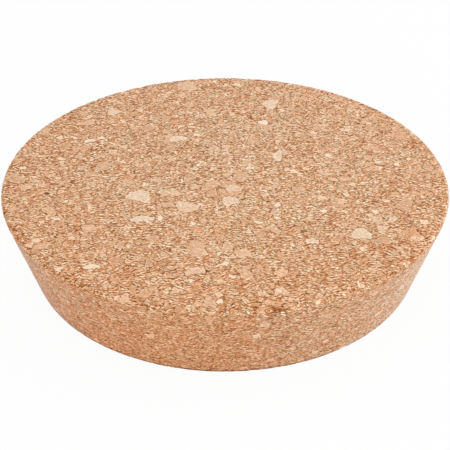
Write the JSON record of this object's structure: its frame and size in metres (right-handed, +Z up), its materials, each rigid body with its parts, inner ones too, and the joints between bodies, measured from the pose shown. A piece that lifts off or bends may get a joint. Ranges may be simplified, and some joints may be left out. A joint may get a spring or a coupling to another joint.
{
  "type": "cork stopper",
  "caption": "Tapered disc stopper of granulated cork with eased edges, pushed by hand into the mouth of a wide jar or canister to close it.",
  "frame": {"origin": "centre of the narrow base face, on which the stopper stands", "axes": "+Z up along the stopper's axis, from the narrow base to the wide top; X and Y are alike"},
  "size_m": [0.1, 0.1, 0.02],
  "materials": {
    "cork": "matte granulated cork, sanded, with pale granules, thin dark seams and small pores"
  },
  "bodies": {
    "root": {"stopper": "cork"}
  },
  "joints": []
}
